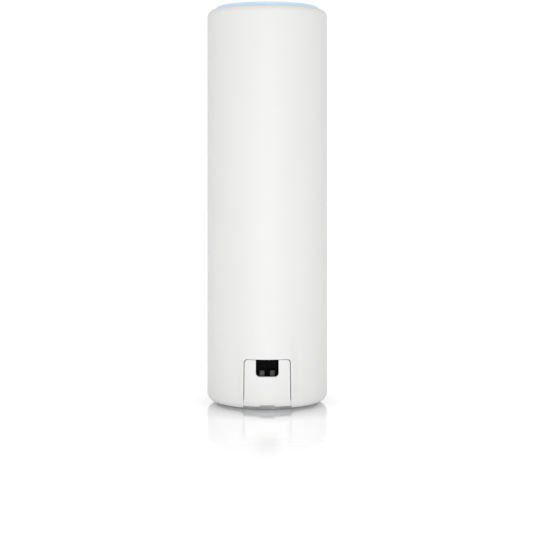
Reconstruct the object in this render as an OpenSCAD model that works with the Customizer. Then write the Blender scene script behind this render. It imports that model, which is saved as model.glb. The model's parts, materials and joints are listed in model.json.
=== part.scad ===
// Mesh wifi node: a can-shaped casing with a light ring on top and a slide-off port door at the rear.
// Origin at the centre of the foot's rest face, +Z up the can's axis, -Y towards the port door.

/* [Casing] */
// Outer diameter of the casing
body_d = 48.5; // [48:0.1:50]
// Height from the rest face to the top of the light ring
body_h = 159.3; // [158:0.1:166]
// Wall thickness of the casing
wall = 1.8; // [1.6:0.1:2]
// Radius of the casing's rounded bottom edge
edge_r = 3.4; // [3.2:0.1:3.6]
// Radius of the casing's rounded top edge
top_edge_r = 2.8; // [2.6:0.1:3]
// Width of the flat land between each rounded edge and its mouth
land = 0.6; // [0.5:0.05:0.8]
// Height of the casing's lowest edge above the rest face
floor_gap = 0.6; // [0.5:0.1:0.8]

/* [Light ring] */
// Width of the glowing band seen from above
ring_w = 1.6; // [1.4:0.1:1.8]
// How far the ring stands above the casing's land
ring_proud = 1.2; // [1:0.1:1.4]
// Depth of the top cap's face below the ring's top
cap_drop = 0.3; // [0.2:0.1:0.5]
// Number of lights under the ring
led_count = 12; // [8:1:16]

/* [Swelling around the door] */
// How far the casing swells outwards around the door
swell = 0.6; // [0.5:0.1:0.7]
// Width of each sloping flank beside the door
flank_w = 2.6; // [2.4:0.1:2.8]
// Height at which the swelling has faded out
swell_top = 36; // [32:1:40]

/* [Port door] */
// Width of the door opening at its top
door_w = 18.2; // [18:0.1:18.6]
// Height of the top of the door opening
door_top = 20.15; // [19.9:0.05:20.4]
// Extra half width of the opening at the floor
door_flare = 0.2; // [0.1:0.05:0.25]
// Radius of the opening's top corners
door_corner_r = 1.3; // [1:0.1:1.5]
// Thickness of the door's plate
door_t = 1.6; // [1.5:0.1:1.7]
// Height of the door's bottom edge
door_lift = 1.8; // [1.5:0.1:2]
// Gap between the door and the casing at each side
side_gap = 0.3; // [0.2:0.05:0.35]
// Gap between the door and the casing at the top
top_gap = 0.2; // [0.1:0.05:0.3]
// Width of the cable window
window_w = 8.85; // [8.5:0.05:9.5]
// Height of the cable window's lower edge
window_z = 13.45; // [13:0.05:13.8]
// Radius of the window's lower corners
window_r = 1.4; // [1:0.1:1.8]
// Width of the nail notch at its top
notch_w = 5; // [4:0.5:6]
// Height of the nail notch
notch_h = 0.6; // [0.4:0.1:0.8]

/* [Cable bay] */
// Inner width of the cable bay
bay_w = 24.8; // [24:0.2:25]
// Height of the bay's ceiling
bay_top = 34.3; // [34:0.1:35]
// Thickness of the bay's walls and ceiling
bay_wall = 1.1; // [1:0.1:1.2]
// Width of each square post of the cable clip
post_w = 2; // [1.8:0.1:2.2]
// Clear space between the two posts
post_gap = 2.1; // [1.8:0.1:2.4]
// Height of the tops of the posts
post_top = 15.2; // [14.8:0.05:15.6]

/* [Electronics] */
// Width of the main board
board_w = 36; // [34:0.5:36]
// Thickness of the main board
board_t = 1.6; // [1.4:0.1:1.8]
// Number of cooling fins
fin_count = 7; // [5:2:9]
// Diameter of the antenna cables
coax_d = 1.1; // [0.8:0.1:1.3]

/* [Reset button] */
// Diameter of the reset button
button_d = 2.8; // [2.6:0.1:2.8]
// Travel of the reset button
button_travel = 0.4; // [0.3:0.1:0.5]

/* [Hidden] */
$fn = 96;
eps = 0.01;
far = 60;

// Casing
body_r = body_d / 2;
inner_r = body_r - wall;
mouth_r = body_r - edge_r - land;
top_mouth_r = body_r - top_edge_r - land;
core_r = mouth_r - 0.3;
casing_top = body_h - ring_proud;
ledge_t = 1.2;
seal_t = 0.4;
ring_base = casing_top - 2.1;
ledge_z = ring_base - seal_t - ledge_t;

// Light ring stack
ring_r = top_mouth_r - 0.1;
cap_r = ring_r - ring_w - 0.1;
guide_outer_r = ring_r - 1.2;
guide_inner_r = guide_outer_r - 1.4;
ring_shelf_t = 0.6;
led_h = 0.8;
led_board_t = 1.2;
led_board_z = ring_base - 10.2;
led_top = led_board_z + led_board_t + led_h;
led_circle_r = (guide_outer_r + guide_inner_r) / 2;
led_size = [1.3, 2.8];
led_screw_turns = [90, 210, 330];
led_screw_circle_r = 14;
led_connector_z = 130.6;
led_connector_top = 135;
ribbon_w = 6;
ribbon_t = 0.4;

// Swelling
swell_r = body_r + swell;
flank_x = door_w / 2 + 0.1;
flank_y = -sqrt(pow(swell_r, 2) - pow(flank_x, 2));
flank_end_x = flank_x + flank_w;
flank_end_y = -sqrt(pow(body_r, 2) - pow(flank_end_x, 2));
flank_slope = (flank_end_y - flank_y) / (flank_end_x - flank_x);
// Length of a flank, to where its plane is deepest inside the casing's wall
flank_run = -flank_x * cos(atan(flank_slope)) - flank_y * sin(atan(flank_slope));

// Door guides: a tongue on each side of the door slides between the casing's wall and a rail
tongue_x = door_w / 2 - 0.4;
tongue_end_x = tongue_x + 1.3;
tongue_back_y = -18.8;
tongue_front_y = -19.65;
rib_w = 1;
door_lip_t = 0.9;
rib_front_y = -22.2;
rail_gap = 0.2;
rail_t = 0.8;
rail_x = tongue_end_x + 0.25;
rail_back_y = tongue_back_y + rail_gap;
rail_root_y = -20.2;

// Base
cap_z = floor_gap + 0.3;
cap_t = 1.8;
cap_top = cap_z + cap_t;
foot_outer_r = core_r - 0.6;
foot_inner_r = foot_outer_r - 2.2;
foot_seat = 0.4;
foot_clearance = 0.05;
bay_mouth_r = foot_inner_r - 0.3;
bay_front_y = -1.8;
bay_rear_y = -14.7;
plate_top = bay_top + 1.2;
boss_r = 2.6;
screw_r = 1.1;
base_screw_spots = [[0, 14], [-13.2, 4.5], [13.2, 4.5]];
frame_screw_spots = [[-7, 10], [7, 10]];
post_y = -19.6;

// Boards: the main board's rear face carries the jack, its front face the chips
board_z = plate_top + 0.4;
board_top = led_board_z - 8.6;
board_rear_y = -board_t;
jack_w = 16;
jack_d = 13.5;
jack_h = 21;
jack_rear_y = board_rear_y - jack_d;
shield_t = 0.3;
plug_w = 11.9;
plug_front_y = board_rear_y - 4.2;
plug_rear_y = plug_front_y - 6.8;
latch_w = 6.4;
latch_y = plug_rear_y - 1.6;
plug_depth = 13.5;
contact_count = 8;
contact_pitch = 1.02;
contact_w = 0.45;
lead_r = 0.25;
lead_z = plate_top + 12;
board_screw_spots = [[-15, 58], [15, 58], [-15, 102], [15, 102]];
chip_shield_h = 2;
chip_shield_t = 0.25;
chip_shield_half_w = 11.5;
radio_shield_z = [45, 65];
processor_shield_z = [70, 96];
pad_half_w = 9;
pad_t = 0.6;

// Chips: left edge, lower edge, width, height and thickness
processor_place = [-3, 76, 13, 13, 1.3];
memory_places = [[-10.5, 72, 6, 9, 1], [-10.5, 84, 6, 9, 1]];
radio_places = [[-9.5, 51, 9, 9, 1], [0.5, 51, 9, 9, 1]];
front_end_places = [for (x = [-14.5, -6.5, 3.5, 11.5]) [x, 113, 3, 3, 0.8]];
power_chip_places = [[-12, 96, 5, 5, 0.9], [7, 96, 5, 5, 0.9]];

// Power parts on the board's rear face: their lower edges, and the capacitors' middle
transformer_z = 62;
capacitor_z = 87;
inductor_z = 99;

// Heat sink
sink_y = chip_shield_h + pad_t;
sink_plate_t = 2.4;
sink_z = 42;
sink_top = 106;
frame_outer_r = core_r - 0.4;
frame_wall = 1.2;
antenna_t = 0.3;
antenna_z = 112;
low_band_h = 28;
high_band_h = 18;
low_band_spread = 56;
high_band_spread = 34;
coax_z = 124;
coax_plug_h = 1.3;
// Plug places on the main board: side, face (+1 front, -1 rear) and distance from the middle
plug_spots = [[-1, 1, 12], [1, 1, 12], [-1, -1, 8], [1, -1, 8]];

// Reset button
button_x = 10.4;
button_y = -4.6;
button_tip_z = bay_top - 0.7;
button_top_z = plate_top + 2.5;
switch_z = button_top_z + 1.2;
switch_half_w = 2.2;
plunger_r = 0.92;

// Colours
casing_white = "#f1f1ef";
bay_black = "#16171a";
clip_grey = "#3c3d40";
moulded_grey = "#a6a8ab";
board_green = "#1f5b3a";
tin = "#b9bcc0";
gold = "#d8b45a";
chip_black = "#202124";
aluminium = "#a9adb2";
screw_steel = "#8a8d92";

// Half width of the door opening at height z
function opening_half(z) = door_w / 2 + door_flare * (door_top - z) / door_top;

// Points of a round arc in the plane, from angle a0 to a1
function arc(cx, cy, r, a0, a1, steps = 6) =
    [for (i = [0 : steps]) let (a = a0 + (a1 - a0) * i / steps) [cx + r * cos(a), cy + r * sin(a)]];

// Point at t along a curve that leaves a towards b and reaches d from c
function bezier(a, b, c, d, t) =
    pow(1 - t, 3) * a + 3 * t * pow(1 - t, 2) * b + 3 * pow(t, 2) * (1 - t) * c + pow(t, 3) * d;

function unit(v) = v / norm(v);

// Solid square-cornered block between two corner points
module block(low, high) {
    translate(low)
        cube(high - low);
}

// Flat ring or tube from z0 to z1
module tube(outer, inner, z0, z1) {
    translate([0, 0, z0])
        difference() {
            cylinder(h = z1 - z0, r = outer);
            translate([0, 0, -1])
                cylinder(h = z1 - z0 + 2, r = inner);
        }
}

// Bends a drawing in the XZ plane into a solid that runs along Y from y0 to y1
module along_y(y0, y1) {
    translate([0, y1, 0])
        rotate([90, 0, 0])
            linear_extrude(y1 - y0)
                children();
}

// Round bar along Y
module pin_y(x, z, r, y0, y1) {
    along_y(y0, y1)
        translate([x, z])
            circle(r = r, $fn = 32);
}

// Screw with a flat round head and a cross recess, its head's top face at the origin, pointing up
module screw(head_r, head_h, shaft_r, length) {
    slot = head_r * 0.3;
    difference() {
        union() {
            cylinder(h = head_h, r = head_r, $fn = 32);
            cylinder(h = length, r = shaft_r, $fn = 32);
        }
        for (turn = [0, 90])
            rotate([0, 0, turn])
                translate([-head_r * 0.6, -slot / 2, -1])
                    cube([head_r * 1.2, slot, 1 + head_h * 0.5]);
    }
}

// Round tube of n-sided rings swept along a list of points
module swept_tube(path, r, sides = 8) {
    last = len(path) - 1;
    side = [0.31, 0.94, 0.13];
    rings = [
        for (i = [0 : last])
            let (along = unit(path[min(i + 1, last)] - path[max(i - 1, 0)]))
            let (u = unit(cross(along, side)))
            let (v = cross(along, u))
            for (k = [0 : sides - 1])
                path[i] + r * (cos(360 * k / sides) * u + sin(360 * k / sides) * v)
    ];
    walls = [
        for (i = [0 : last - 1])
            for (k = [0 : sides - 1])
                let (a = i * sides + k, b = i * sides + (k + 1) % sides)
                [a, b, b + sides, a + sides]
    ];
    start = [for (k = [sides - 1 : -1 : 0]) k];
    end = [for (k = [0 : sides - 1]) last * sides + k];
    polyhedron(points = rings, faces = concat([start], walls, [end]), convexity = 4);
}

// Half section of a can with rounded outer edges
module can_section(r, z0, z1, low_edge, top_edge) {
    difference() {
        translate([0, z0])
            square([r, z1 - z0]);
        translate([r - low_edge, z0 - 1])
            difference() {
                square([low_edge + 1, low_edge + 1]);
                translate([0, low_edge + 1])
                    circle(r = low_edge);
            }
        translate([r - top_edge, z1 - top_edge])
            difference() {
                square([top_edge + 1, top_edge + 1]);
                circle(r = top_edge);
            }
    }
}

// Half section of the casing's wall, with its mouths and the ledge that carries the light ring
module wall_section() {
    difference() {
        can_section(body_r, floor_gap, casing_top, edge_r, top_edge_r);
        can_section(inner_r, floor_gap + wall, ledge_z, edge_r - wall, top_edge_r - wall);
        translate([-1, 0])
            square([mouth_r + 1, floor_gap + wall + 1]);
        translate([-1, ledge_z - 1])
            square([guide_outer_r + 0.2 + 1, far]);
        translate([-1, ring_base - seal_t])
            square([top_mouth_r + 1, far]);
    }
}

// Half section of the swelling's outer skin: straight beside the door, then a slope that fades above it
module swell_section() {
    edge = edge_r + swell;
    difference() {
        polygon([
            [inner_r + wall / 3, floor_gap],
            [swell_r, floor_gap],
            [swell_r, door_top + 0.5],
            [body_r, swell_top],
            [inner_r + wall / 3, swell_top],
        ]);
        translate([swell_r - edge, floor_gap - 1])
            difference() {
                square([edge + 1, edge + 1]);
                translate([0, edge + 1])
                    circle(r = edge);
            }
    }
}

// Bounds the swelling by the sloping flank at +X: a block whose lower edge is rounded like the casing's
module flank_block() {
    translate([flank_x, flank_y, 0])
        rotate([0, 0, atan(flank_slope)])
            translate([-far, 0, 0])
                rotate([90, 0, 90])
                    linear_extrude(far + flank_run)
                        difference() {
                            translate([0, floor_gap])
                                square([far, swell_top]);
                            translate([-1, floor_gap - 1])
                                difference() {
                                    square(edge_r + 1);
                                    translate([edge_r + 1, edge_r + 1])
                                        circle(r = edge_r);
                                }
                        }
}

// Front view of the door opening, or of the door when it is given gaps
module door_outline(side = 0, top = 0) {
    z_top = door_top - top;
    half_top = opening_half(door_top) - side;
    half_bottom = opening_half(-1) - side;
    r = door_corner_r;
    polygon(concat(
        [[half_bottom, -1]],
        arc(half_top - r, z_top - r, r, 0, 90),
        arc(r - half_top, z_top - r, r, 90, 180),
        [[-half_bottom, -1]]
    ));
}

module outer_shell() {
    color(casing_white)
        difference() {
            union() {
                rotate_extrude()
                    wall_section();
                intersection() {
                    rotate_extrude()
                        swell_section();
                    flank_block();
                    mirror([1, 0, 0])
                        flank_block();
                }
                for (side = [0, 1])
                    mirror([side, 0, 0])
                        guide_rail();
            }
            along_y(-far, -17)
                door_outline();
            for (side = [0, 1])
                mirror([side, 0, 0])
                    block([tongue_x - 0.2, tongue_front_y - rail_gap, -1],
                          [rail_x, rail_back_y, edge_r + floor_gap]);
        }
}

// L-shaped rail inside the casing, beside the door opening
module guide_rail() {
    hook_x = tongue_x + 0.6;
    root_x = rail_x + 1.2;
    translate([0, 0, floor_gap + wall - 0.4])
        linear_extrude(door_top + 1 - floor_gap - wall)
            polygon([
                [rail_x, rail_root_y],
                [rail_x, rail_back_y],
                [hook_x, rail_back_y],
                [hook_x, rail_back_y + rail_t],
                [root_x, rail_back_y + rail_t],
                [root_x, rail_root_y + 0.4],
            ]);
}

module top_cap() {
    skirt_r = guide_inner_r - 0.3;
    shelf = ring_base + ring_shelf_t;
    face_z = body_h - cap_drop;
    color(casing_white)
        rotate_extrude()
            union() {
                difference() {
                    translate([0, shelf])
                        square([cap_r, face_z - shelf]);
                    translate([cap_r - 0.3, face_z - 0.3])
                        difference() {
                            square(1);
                            circle(r = 0.3, $fn = 32);
                        }
                }
                translate([skirt_r - 1.4, shelf - 3.2])
                    square([1.4, 3.2 + eps]);
            }
}

module top_seal() {
    color("dimgray")
        tube(ring_r, guide_outer_r + 0.3, ring_base - seal_t, ring_base);
}

module light_ring() {
    crown_r = 0.4;
    color("#bfe0fb")
        rotate_extrude()
            difference() {
                translate([guide_inner_r, ring_base])
                    square([ring_r - guide_inner_r, body_h - ring_base]);
                translate([guide_inner_r - 1, ring_base + ring_shelf_t])
                    square([cap_r + 0.1 - guide_inner_r + 1, far]);
                translate([ring_r - crown_r, body_h - crown_r])
                    difference() {
                        square(1);
                        circle(r = crown_r, $fn = 48);
                    }
            }
}

module light_guide() {
    color("#e8f4fc")
        tube(guide_outer_r, guide_inner_r, led_top + 0.2, ring_base);
}

module led_board() {
    color(board_green)
        difference() {
            translate([0, 0, led_board_z])
                cylinder(h = led_board_t, r = guide_outer_r);
            for (turn = led_screw_turns)
                rotate([0, 0, turn])
                    translate([led_screw_circle_r, 0, led_board_z - 1])
                        cylinder(h = led_board_t + 2, r = 1, $fn = 32);
        }
}

module status_leds() {
    color("#f4f7fb")
        for (i = [0 : led_count - 1])
            rotate([0, 0, 360 * (i + 0.5) / led_count])
                block([led_circle_r - led_size[0] / 2, -led_size[1] / 2, led_board_z + led_board_t],
                      [led_circle_r + led_size[0] / 2, led_size[1] / 2, led_top]);
}

module led_board_screws() {
    head_h = 1.1;
    color(screw_steel)
        for (turn = led_screw_turns)
            rotate([0, 0, turn])
                translate([led_screw_circle_r, 0, led_board_z + led_board_t + head_h])
                    mirror([0, 0, 1])
                        screw(1.8, head_h, 0.9, 6);
}

// Flat ribbon from the LED board down to its connector, with a little slack
module led_cable() {
    steps = 14;
    mid_y = board_rear_y - 1.3;
    rise = led_board_z - led_connector_top;
    slack = [
        for (i = [0 : steps])
            let (t = i / steps)
            [mid_y - 0.8 * (1 - cos(360 * t)), led_connector_top + rise * t]
    ];
    color("#d9d4c4")
        rotate([90, 0, 90])
            linear_extrude(ribbon_w, center = true)
                polygon(concat(
                    [for (p = slack) p + [ribbon_t / 2, 0]],
                    [for (i = [steps : -1 : 0]) slack[i] - [ribbon_t / 2, 0]]
                ));
}

module led_connector() {
    half = 4.2;
    slot_z = led_connector_top - 1;
    color("#e9e4d6")
        difference() {
            block([-half, board_rear_y - 2.6, led_connector_z], [half, board_rear_y, led_connector_top]);
            for (x = [0.6 - half, half - 1])
                block([x, board_rear_y - 2.1, slot_z], [x + 0.4, board_rear_y - 0.5, slot_z + 2]);
        }
}

// Tubular frame that carries the antennas and the LED board
module inner_frame() {
    window_half = 12;
    screw_post_h = 7.4;
    color(moulded_grey)
        difference() {
            union() {
                tube(frame_outer_r, frame_outer_r - frame_wall, plate_top, led_board_z);
                tube(frame_outer_r, 11, led_board_z - 1.2, led_board_z);
                for (turn = led_screw_turns)
                    rotate([0, 0, turn])
                        translate([led_screw_circle_r, 0, led_board_z - screw_post_h])
                            cylinder(h = screw_post_h, r = 2.2, $fn = 32);
            }
            along_y(-far, -10)
                round_window(window_half, plate_top + jack_h + 2.5, sink_top, 3);
            along_y(10, far)
                round_window(window_half, sink_z, sink_top, 3);
            for (turn = led_screw_turns)
                rotate([0, 0, turn])
                    translate([led_screw_circle_r, 0, led_board_z - screw_post_h - 1])
                        cylinder(h = screw_post_h + 2, r = 0.9, $fn = 32);
        }
}

// Window outline with rounded corners
module round_window(half, z0, z1, r) {
    polygon(concat(
        arc(half - r, z0 + r, r, -90, 0),
        arc(half - r, z1 - r, r, 0, 90),
        arc(r - half, z1 - r, r, 90, 180),
        arc(r - half, z0 + r, r, 180, 270)
    ));
}

// Sheet metal patch wrapped on the frame
module patch(start, sweep, z0, z1) {
    rotate_extrude(angle = sweep, start = start)
        translate([frame_outer_r, z0])
            square([antenna_t, z1 - z0]);
}

// Stamped antenna: a foot, a feed strip, a shorting strip and a radiating arm
module stamped_antenna(middle, spread, height) {
    z0 = antenna_z;
    z1 = antenna_z + height;
    union() {
        patch(middle - spread / 2, spread, z0, z0 + 3);
        patch(middle - spread / 2, spread * 0.16, z0 + 3 - eps, z1);
        patch(middle - spread * 0.16, spread * 0.12, z0 + 3 - eps, z1);
        patch(middle - spread / 2, spread, z1 - 2.5, z1);
        patch(middle + spread * 0.36, spread * 0.14, z1 - 9, z1);
    }
}

module low_band_antenna_left() {
    color(tin)
        stamped_antenna(145, low_band_spread, low_band_h);
}

module low_band_antenna_right() {
    color(tin)
        stamped_antenna(35, low_band_spread, low_band_h);
}

module high_band_antenna_left() {
    color(tin)
        stamped_antenna(225, high_band_spread, high_band_h);
}

module high_band_antenna_right() {
    color(tin)
        stamped_antenna(315, high_band_spread, high_band_h);
}

// The board's face that a plug sits on
function plug_face_y(face) = face > 0 ? 0 : board_rear_y;

module antenna_cables() {
    cable_r = coax_d / 2;
    reach = frame_outer_r - frame_wall - cable_r - 0.1;
    rise = [0, 0, 9];
    steps = 12;
    color("#2b2b2e")
        for (spot = plug_spots) {
            away = spot[1] * (coax_plug_h + cable_r);
            start = [spot[0] * spot[2], plug_face_y(spot[1]) + away, coax_z];
            turn = spot[1] > 0 ? 40 : -50;
            end = [spot[0] * reach * cos(turn), reach * sin(turn), antenna_z + 8];
            swept_tube([
                for (i = [0 : steps])
                    bezier(start, start + rise, end + rise, end, i / steps)
            ], cable_r);
        }
}

module coax_plugs() {
    color(gold)
        for (spot = plug_spots) {
            face_y = plug_face_y(spot[1]);
            pin_y(spot[0] * spot[2], coax_z, 1.4,
                  min(face_y, face_y + spot[1] * coax_plug_h),
                  max(face_y, face_y + spot[1] * coax_plug_h));
        }
}

module main_board() {
    color(board_green)
        difference() {
            block([-board_w / 2, board_rear_y, board_z], [board_w / 2, 0, board_top]);
            for (spot = board_screw_spots)
                pin_y(spot[0], spot[1], 1.3, -far, far);
        }
}

// Chip on the board's front face, at one of the places listed above
module front_chip(place) {
    block([place[0], 0, place[1]], [place[0] + place[2], place[4], place[1] + place[3]]);
}

module processor_chip() {
    color(chip_black)
        front_chip(processor_place);
}

module memory_chips() {
    color(chip_black)
        for (place = memory_places)
            front_chip(place);
}

// Pressed shield can, open towards the board
module shield_can(span) {
    outer_x = chip_shield_half_w;
    inner_x = outer_x - chip_shield_t;
    difference() {
        block([-outer_x, 0, span[0]], [outer_x, chip_shield_h, span[1]]);
        block([-inner_x, -1, span[0] + chip_shield_t],
              [inner_x, chip_shield_h - chip_shield_t, span[1] - chip_shield_t]);
    }
}

module processor_shield() {
    color(tin)
        shield_can(processor_shield_z);
}

module radio_chips() {
    color(chip_black)
        for (place = radio_places)
            front_chip(place);
}

module radio_shield() {
    color(tin)
        shield_can(radio_shield_z);
}

module radio_front_ends() {
    color(chip_black)
        for (place = front_end_places)
            front_chip(place);
}

// Soft pads between the shield cans and the heat sink
module thermal_pads() {
    margin = 2;
    color("#9fb6c9")
        for (span = [radio_shield_z, processor_shield_z])
            block([-pad_half_w, chip_shield_h, span[0] + margin], [pad_half_w, sink_y, span[1] - margin]);
}

module heat_sink() {
    fin_t = 1.2;
    fin_reach = frame_outer_r - frame_wall - 0.6;
    spacing = 30 / (fin_count - 1);
    color(aluminium)
        difference() {
            union() {
                block([-16.5, sink_y, sink_z], [16.5, sink_y + sink_plate_t, sink_top]);
                block([-10, sink_y, plate_top], [10, sink_y + sink_plate_t, sink_z + 1]);
                block([-10, sink_y, plate_top], [10, 14, plate_top + 2.6]);
                for (spot = board_screw_spots)
                    pin_y(spot[0], spot[1], 2.6, 0, sink_y + 1);
                for (i = [0 : fin_count - 1])
                    fin(-15 + i * spacing, fin_t, fin_reach);
            }
            for (spot = board_screw_spots)
                pin_y(spot[0], spot[1], screw_r, -1, sink_y + 2);
            for (spot = frame_screw_spots)
                translate([spot[0], spot[1], plate_top - 1])
                    cylinder(h = 5, r = screw_r, $fn = 32);
        }
}

// One cooling fin, as deep as the round frame allows
module fin(x, t, reach) {
    deep = sqrt(pow(reach, 2) - pow(abs(x) + t / 2, 2));
    block([x - t / 2, sink_y + sink_plate_t - 0.2, sink_z + 2], [x + t / 2, deep, sink_top - 2]);
}

module board_screws() {
    head_h = 1.2;
    color(screw_steel)
        for (spot = board_screw_spots)
            translate([spot[0], board_rear_y - head_h, spot[1]])
                rotate([-90, 0, 0])
                    screw(2.1, head_h, screw_r, head_h + board_t + sink_y + 1.5);
}

module network_jack() {
    color(bay_black)
        difference() {
            block([shield_t - jack_w / 2, jack_rear_y + shield_t, plate_top + shield_t],
                  [jack_w / 2 - shield_t, board_rear_y, plate_top + jack_h - shield_t]);
            block([-plug_w / 2, plug_rear_y, plate_top - 1],
                  [plug_w / 2, plug_front_y, plate_top + plug_depth]);
            block([-latch_w / 2, latch_y, plate_top - 1],
                  [latch_w / 2, plug_rear_y + eps, plate_top + plug_depth]);
        }
}

module jack_shield() {
    color(tin)
        difference() {
            block([-jack_w / 2, jack_rear_y, plate_top], [jack_w / 2, board_rear_y, plate_top + jack_h]);
            block([shield_t - jack_w / 2, jack_rear_y + shield_t, plate_top + shield_t],
                  [jack_w / 2 - shield_t, 1, plate_top + jack_h - shield_t]);
            block([-plug_w / 2 - 0.3, latch_y - 0.2, plate_top - 1],
                  [plug_w / 2 + 0.3, plug_front_y + 0.3, plate_top + 1]);
        }
}

// Spring wires that slope away from the cavity's wall
module jack_contacts() {
    y = plug_front_y;
    z = plate_top;
    color(gold)
        for (i = [0 : contact_count - 1])
            translate([(i - (contact_count - 1) / 2) * contact_pitch - contact_w / 2, 0, 0])
                rotate([90, 0, 90])
                    linear_extrude(contact_w)
                        polygon([[y, z + 1.6], [y, z + 2.2], [y - 1.6, z + 11.2], [y - 2, z + 11.2]]);
}

module jack_leads() {
    color(tin)
        for (i = [0 : contact_count - 1])
            pin_y((i - (contact_count - 1) / 2) * contact_pitch, lead_z + 2.5 * (i % 2), lead_r,
                  board_rear_y, 1);
}

module poe_transformer() {
    z0 = transformer_z;
    size = 14;
    deep = 9;
    y = board_rear_y;
    color("#55504a")
        union() {
            difference() {
                block([-size / 2, y - deep, z0], [size / 2, y, z0 + size]);
                block([2 - size / 2, y - deep - 1, z0 + 2.5], [size / 2 - 2, y - 1.5, z0 + size - 2.5]);
            }
            pin_y(0, z0 + size / 2, 4.4, y - deep + 1, y - 1);
            block([-1.6, y - deep + 0.1, z0 + 2], [1.6, y - 1, z0 + size - 2]);
        }
}

module power_inductor() {
    size = 7;
    deep = 3.6;
    y = board_rear_y;
    color("#3a3b3f")
        union() {
            block([-size / 2, y - deep, inductor_z], [size / 2, y, inductor_z + size]);
            pin_y(0, inductor_z + size / 2, 2.9, y - deep - 0.4, y - deep + 0.6);
        }
}

module bulk_capacitors() {
    can_r = 3.5;
    can_l = 10;
    color("#2c3a5a")
        for (x = [-7.6, 7.6])
            union() {
                pin_y(x, capacitor_z, can_r, board_rear_y - can_l + 0.4, board_rear_y - 0.4);
                pin_y(x, capacitor_z, can_r - 0.3, board_rear_y - can_l, board_rear_y);
            }
}

module power_controller() {
    color(chip_black)
        for (place = power_chip_places)
            translate([0, board_rear_y, 0])
                mirror([0, 1, 0])
                    front_chip(place);
}

module reset_switch() {
    color(chip_black)
        difference() {
            block([button_x - switch_half_w, board_rear_y - 5.3, switch_z],
                  [button_x + switch_half_w, board_rear_y, switch_z + 3.5]);
            translate([button_x, button_y, switch_z - 1])
                cylinder(h = 1 + 1.4 + button_travel, r = plunger_r + 0.08, $fn = 32);
        }
}

module switch_plunger() {
    color("#c9a15a")
        translate([button_x, button_y, button_top_z])
            cylinder(h = 2, r = plunger_r, $fn = 32);
}

module reset_button() {
    color(clip_grey)
        translate([button_x, button_y, 0])
            union() {
                translate([0, 0, button_tip_z])
                    cylinder(h = button_top_z - button_tip_z, r = button_d / 2, $fn = 48);
                translate([0, 0, plate_top + 0.1])
                    cylinder(h = 1, r = 2.2, $fn = 48);
            }
}

// Black liner of the cable bay, with the plate above it that carries the jack and the frame
module port_bay() {
    half = bay_w / 2;
    color(bay_black)
        difference() {
            union() {
                translate([0, 0, bay_top])
                    cylinder(h = plate_top - bay_top, r = core_r);
                block([-half - bay_wall, bay_rear_y, cap_top + 0.2],
                      [half + bay_wall, bay_front_y + bay_wall, bay_top + eps]);
                for (spot = base_screw_spots)
                    translate([spot[0], spot[1], cap_top])
                        cylinder(h = bay_top - cap_top + eps, r = boss_r, $fn = 48);
            }
            block([-half, -far, -1], [half, bay_front_y, bay_top]);
            block([-plug_w / 2 - 0.6, latch_y - 0.5, bay_top - 1],
                  [plug_w / 2 + 0.6, plug_front_y + 0.6, plate_top + 1]);
            translate([button_x, button_y, bay_top - 1])
                cylinder(h = 4, r = button_d / 2 + 0.1, $fn = 48);
            for (spot = base_screw_spots)
                translate([spot[0], spot[1], cap_top - 1])
                    cylinder(h = 11, r = screw_r, $fn = 32);
            for (spot = frame_screw_spots)
                translate([spot[0], spot[1], bay_top - 1])
                    cylinder(h = 4, r = screw_r + 0.2, $fn = 32);
        }
}

module frame_screws() {
    head_h = 1.2;
    color(screw_steel)
        for (spot = frame_screw_spots)
            translate([spot[0], spot[1], bay_top - head_h])
                screw(2, head_h, screw_r, head_h + 1.2 + 2.6);
}

// Bottom cover, with snap lugs that hook over the casing's turned-in lip
module base_cap() {
    cap_r_outer = mouth_r - 0.25;
    upstand_r = cap_r_outer;
    color(moulded_grey)
        difference() {
            union() {
                translate([0, 0, cap_z])
                    cylinder(h = cap_t, r = cap_r_outer);
                rotate_extrude(angle = 220, start = -20)
                    translate([upstand_r - 1.2, cap_top - eps])
                        square([1.2, 2.6]);
                for (turn = [0, 60, 120, 180])
                    rotate_extrude(angle = 12, start = turn - 6)
                        translate([upstand_r - 0.4, floor_gap + wall + 0.1])
                            polygon([[0, 0], [1.15, 0], [1.15, 0.5], [0, 1.7]]);
            }
            intersection() {
                translate([0, 0, -1])
                    cylinder(h = cap_top + 2, r = bay_mouth_r);
                block([-11.2, -far, -1], [11.2, bay_front_y, cap_top + 2]);
            }
            tube(foot_outer_r + foot_clearance, foot_inner_r - foot_clearance, cap_z - 1, cap_z + foot_seat);
            for (spot = base_screw_spots) {
                translate([spot[0], spot[1], cap_z - 1])
                    cylinder(h = 2, r = 2.2, $fn = 32);
                translate([spot[0], spot[1], cap_z - 1])
                    cylinder(h = cap_t + 2, r = screw_r + 0.2, $fn = 32);
            }
        }
}

module base_screws() {
    head_h = 0.9;
    color(screw_steel)
        for (spot = base_screw_spots)
            translate([spot[0], spot[1], cap_z + 1 - head_h])
                screw(2, head_h, screw_r, 9);
}

module foot_ring() {
    color("#a4a6a8")
        tube(foot_outer_r, foot_inner_r, 0, cap_z + foot_seat);
}

// Two square posts that hold the cable below the window
module cable_clip() {
    color(clip_grey)
        union() {
            block([-4.6, post_y, cap_top], [4.6, post_y + 2.4, cap_top + 2.2]);
            for (side = [-1, 1])
                translate([side * (post_gap + post_w) / 2 - post_w / 2, post_y, cap_top])
                    cube([post_w, post_w, post_top - cap_top]);
        }
}

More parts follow.
